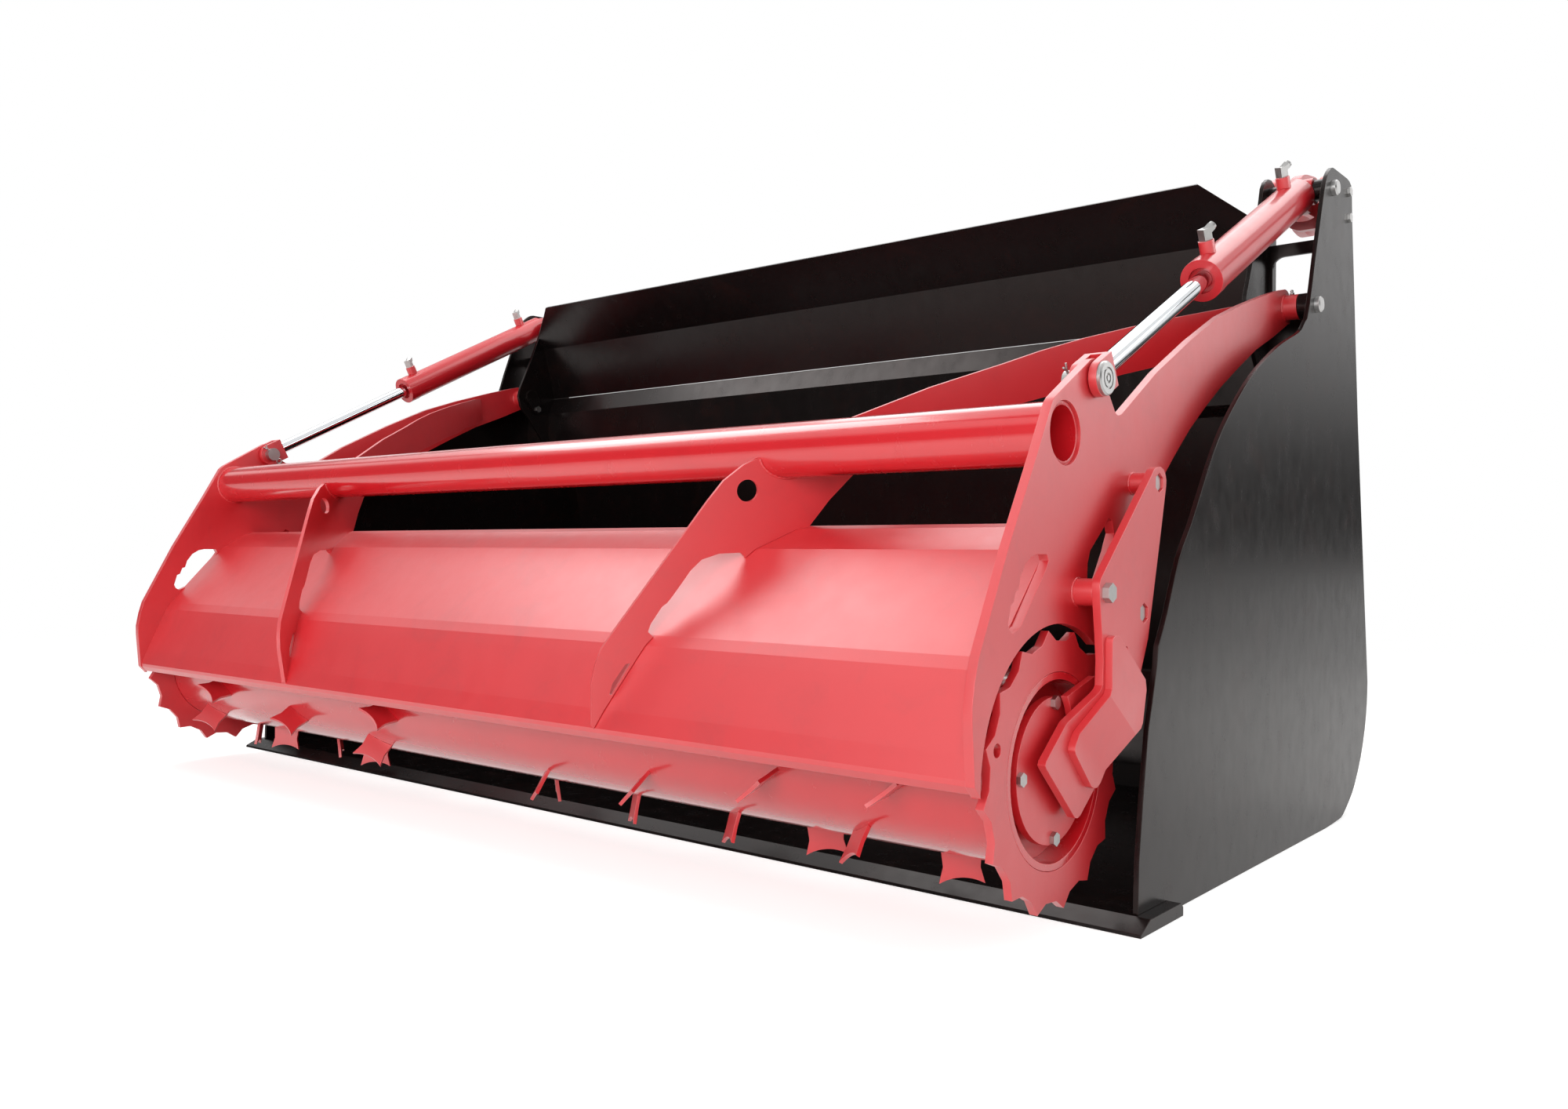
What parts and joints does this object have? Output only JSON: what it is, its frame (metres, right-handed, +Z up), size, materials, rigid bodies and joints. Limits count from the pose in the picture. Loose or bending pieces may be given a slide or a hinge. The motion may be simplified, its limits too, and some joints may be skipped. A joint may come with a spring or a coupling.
{
  "type": "silage cutting bucket",
  "caption": "Loader bucket with a hinged grab frame whose toothed, knife-set rotor cuts silage, opened and closed by two cylinders.",
  "frame": {"origin": "middle of the width, at the tip of the cutting edge, on the ground plane", "axes": "+X across the bucket to its right as seen by the operator behind it, +Y from the cutting edge to the loader, +Z up"},
  "size_m": [2.5, 1.5529, 1.3431],
  "materials": {
    "black_paint": "satin black paint on steel plate",
    "red_paint": "gloss red paint on steel",
    "chrome": "ground and chromed rod",
    "bright_steel": "turned bright steel",
    "zinc_steel": "zinc plated steel",
    "cast_motor": "dark painted casting"
  },
  "bodies": {
    "bucket": {"back_sheet": "black_paint", "side_plate_right": "black_paint", "side_plate_left": "black_paint", "wear_bar": "black_paint", "upper_panel": "black_paint", "cross_beam": "black_paint", "inner_tower_right": "black_paint", "inner_tower_left": "black_paint", "tower_web_right": "black_paint", "tower_web_left": "black_paint", "hitch_hook_right": "red_paint", "hitch_hook_left": "red_paint", "hitch_tubes": "black_paint", "hook_bolts": "zinc_steel", "grab_pivot_pins": "bright_steel", "base_pins": "bright_steel", "pin_keepers": "black_paint", "keeper_bolts": "zinc_steel", "pivot_spacers": "black_paint", "eye_spacers": "black_paint"},
    "grab": {"arm_right": "red_paint", "arm_left": "red_paint", "pivot_sleeves": "red_paint", "cross_tube": "red_paint", "hood": "red_paint", "rib_right": "red_paint", "rib_left": "red_paint", "bracket_right": "red_paint", "bracket_left": "red_paint", "bracket_doubler_right": "red_paint", "bracket_doubler_left": "red_paint", "bracket_gussets": "red_paint", "bracket_spacers": "red_paint", "bracket_bolts": "zinc_steel", "drive_motors": "cast_motor"},
    "rotor": {"toothed_disc_right": "red_paint", "toothed_disc_left": "red_paint", "drum": "red_paint", "knives_right_hand": "red_paint", "knives_left_hand": "red_paint", "end_flanges": "red_paint", "drum_bulkheads": "red_paint", "flange_bolts": "zinc_steel"},
    "barrel_unit_right": {"barrel_right": "red_paint", "gland_right": "red_paint", "port_bosses_right": "red_paint", "elbow_fittings_right": "zinc_steel"},
    "rod_unit_right": {"rod_right": "chrome", "clevis_right": "red_paint", "rod_pin_right": "bright_steel", "split_pin_right": "zinc_steel"},
    "barrel_unit_left": {"barrel_left": "red_paint", "gland_left": "red_paint", "port_bosses_left": "red_paint", "elbow_fittings_left": "zinc_steel"},
    "rod_unit_left": {"rod_left": "chrome", "clevis_left": "red_paint", "rod_pin_left": "bright_steel", "split_pin_left": "zinc_steel"}
  },
  "joints": [
    {"name": "grab_hinge", "type": "hinge", "parent": "bucket", "child": "grab", "pos_m": [0, 0.82227, 1.00323], "axis": [-1, 0, 0], "range_deg": [0, 50]},
    {"name": "rotor_spin", "type": "hinge", "parent": "grab", "child": "rotor", "pos_m": [0, -0.09692, 0.23311], "axis": [1, 0, 0], "continuous": true},
    {"name": "barrel_swing_right", "type": "hinge", "parent": "bucket", "child": "barrel_unit_right", "pos_m": [1.165, 0.9199, 1.24642], "axis": [-1, 0, 0], "range_deg": [0, 43]},
    {"name": "rod_slide_right", "type": "slide", "parent": "barrel_unit_right", "child": "rod_unit_right", "axis": [0, 0.8878, 0.4603], "range_m": [0, 0.194]},
    {"name": "barrel_swing_left", "type": "hinge", "parent": "bucket", "child": "barrel_unit_left", "pos_m": [-1.165, 0.9199, 1.24642], "axis": [-1, 0, 0], "range_deg": [0, 43]},
    {"name": "rod_slide_left", "type": "slide", "parent": "barrel_unit_left", "child": "rod_unit_left", "axis": [0, 0.8878, 0.4603], "range_m": [0, 0.194]}
  ],
  "couplings": [
    {"joint": "barrel_swing_right", "follows": "grab_hinge", "ratio": 0.8578},
    {"joint": "rod_slide_right", "follows": "grab_hinge", "m_per_rad": 0.2211},
    {"joint": "barrel_swing_left", "follows": "grab_hinge", "ratio": 0.8578},
    {"joint": "rod_slide_left", "follows": "grab_hinge", "m_per_rad": 0.2211}
  ]
}
